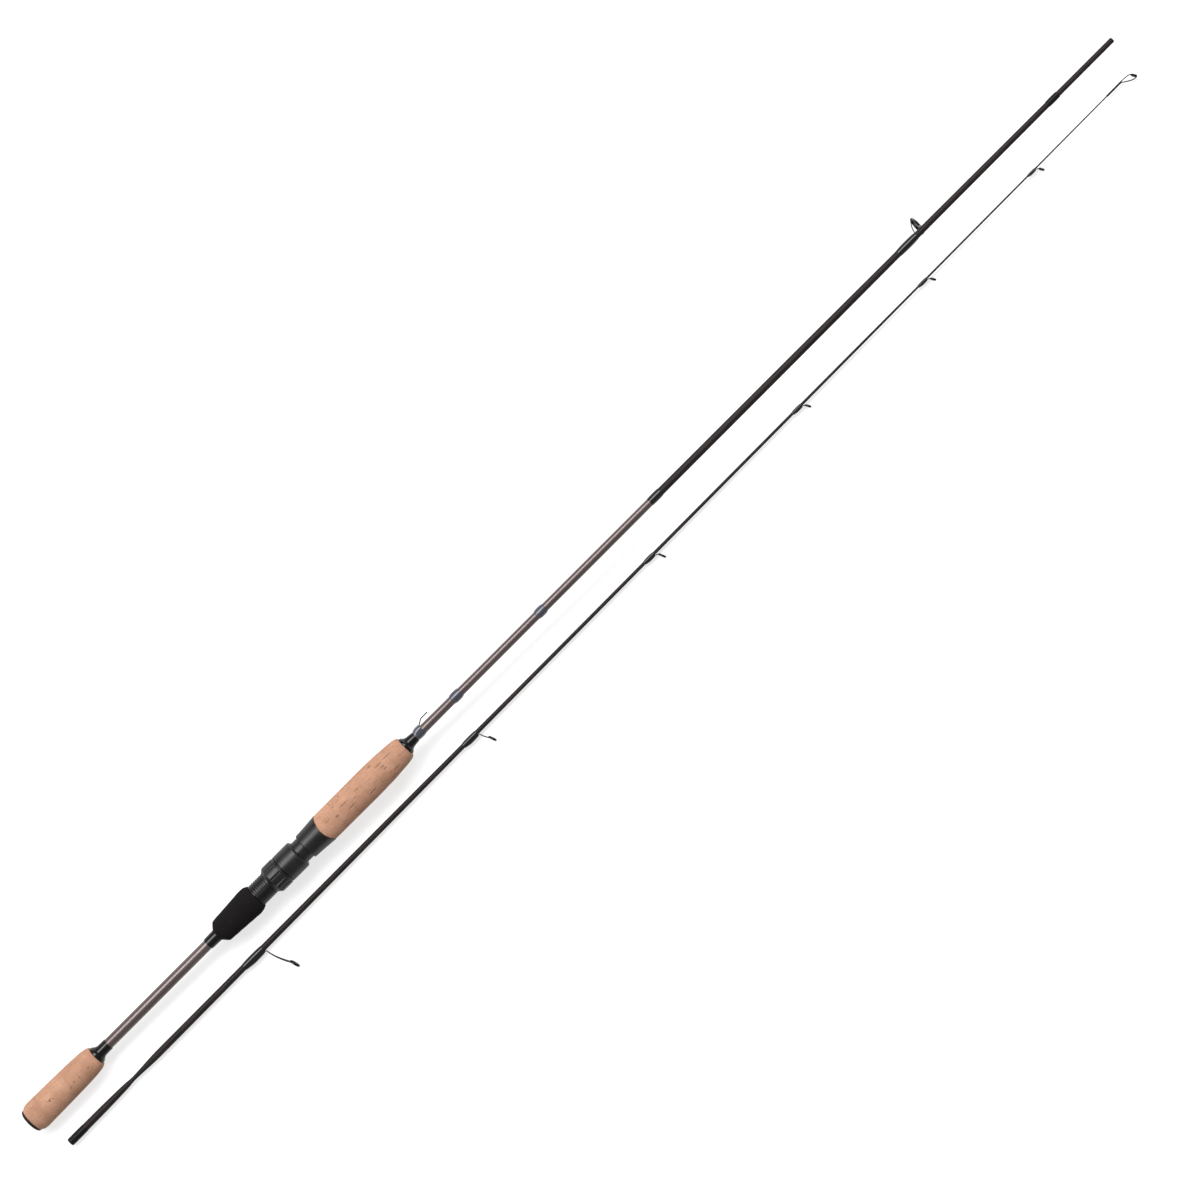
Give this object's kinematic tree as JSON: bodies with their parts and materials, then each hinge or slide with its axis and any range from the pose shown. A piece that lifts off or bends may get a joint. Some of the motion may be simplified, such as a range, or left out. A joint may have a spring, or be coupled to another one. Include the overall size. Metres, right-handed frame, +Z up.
{
  "type": "spinning rod",
  "caption": "Two-piece spinning rod taken apart, sections side by side: split cork grip, screw-locking reel seat, tapered tubes with a push-on ferrule and single-foot line guides.",
  "frame": {"origin": "centre of the butt cap's end face", "axes": "+X runs from the butt end along the two sections as they lie, +Z is up from the surface they lie on, +Y is on the butt section's side. The butt section rises 1.32 degrees along +X, because it rests on its rear cork and its lowest guide."},
  "size_m": [1.0823, 0.069, 0.038],
  "materials": {
    "cork": "sanded cork with small dark pits",
    "foam_grip": "matt closed-cell foam",
    "butt_cap_rubber": "matt moulded rubber",
    "plug_rubber": "matt",
    "reel_seat": "satin moulded plastic",
    "arbor": "rigid foam",
    "gloss_trim": "polished",
    "butt_blank": "metallic lacquer, then bare carbon",
    "tip_blank": "satin carbon",
    "silver_wrap": "thread under clear epoxy",
    "matt_wrap": "thread under thin satin epoxy",
    "black_wrap": "thread under clear epoxy",
    "guide_metal": "black plated",
    "ceramic": "polished ceramic"
  },
  "bodies": {
    "butt_section": {"butt_blank": "butt_blank", "spigot_plug": "plug_rubber", "butt_cap": "butt_cap_rubber", "rear_cork_ring_1": "cork", "rear_cork_ring_2": "cork", "rear_cork_ring_3": "cork", "rear_cork_ring_4": "cork", "rear_cork_ring_5": "cork", "rear_winding_check": "gloss_trim", "rear_grip_collar": "gloss_trim", "eva_rear_grip": "foam_grip", "reel_seat_body": "reel_seat", "seat_arbor_1": "arbor", "seat_arbor_2": "arbor", "seat_arbor_3": "arbor", "fore_cork_ring_1": "cork", "fore_cork_ring_2": "cork", "fore_cork_ring_3": "cork", "fore_cork_ring_4": "cork", "fore_cork_ring_5": "cork", "fore_cork_ring_6": "cork", "fore_winding_check": "gloss_trim", "hook_keeper": "guide_metal", "keeper_wrap": "silver_wrap", "band_wrap_1": "silver_wrap", "band_wrap_2": "silver_wrap", "join_wrap": "black_wrap", "ferrule_stop_wrap": "matt_wrap", "stripper_frame": "guide_metal", "stripper_ring": "ceramic", "stripper_wrap": "black_wrap"},
    "sliding_hood": {"sliding_hood": "reel_seat"},
    "locking_nut": {"locking_nut": "reel_seat"},
    "tip_section": {"tip_blank": "tip_blank", "socket_wrap": "matt_wrap", "guide_1_frame": "guide_metal", "guide_1_ring": "ceramic", "guide_1_wrap": "black_wrap", "guide_2_frame": "guide_metal", "guide_2_ring": "ceramic", "guide_2_wrap": "black_wrap", "guide_3_frame": "guide_metal", "guide_3_ring": "ceramic", "guide_3_wrap": "black_wrap", "guide_4_frame": "guide_metal", "guide_4_ring": "ceramic", "guide_4_wrap": "black_wrap", "guide_5_frame": "guide_metal", "guide_5_ring": "ceramic", "guide_5_wrap": "black_wrap", "guide_6_frame": "guide_metal", "guide_6_ring": "ceramic", "guide_6_wrap": "black_wrap", "tip_top_frame": "guide_metal", "tip_top_ring": "ceramic"}
  },
  "joints": [
    {"name": "hood_slide", "type": "slide", "parent": "butt_section", "child": "sliding_hood", "axis": [0.9997, 0, 0.023], "range_m": [-0.0135, 0.0045]},
    {"name": "nut_spin", "type": "hinge", "parent": "sliding_hood", "child": "locking_nut", "pos_m": [0.24873, 0, 0.00573], "axis": [0.9997, 0, 0.023], "range_deg": [-2700, 900]},
    {"name": "tip_section_draw", "type": "slide", "parent": "butt_section", "child": "tip_section", "axis": [1, 0.0047, 0], "range_m": [0, 0.06]}
  ],
  "couplings": [
    {"joint": "hood_slide", "follows": "nut_spin", "m_per_rad": 0.00028648}
  ]
}
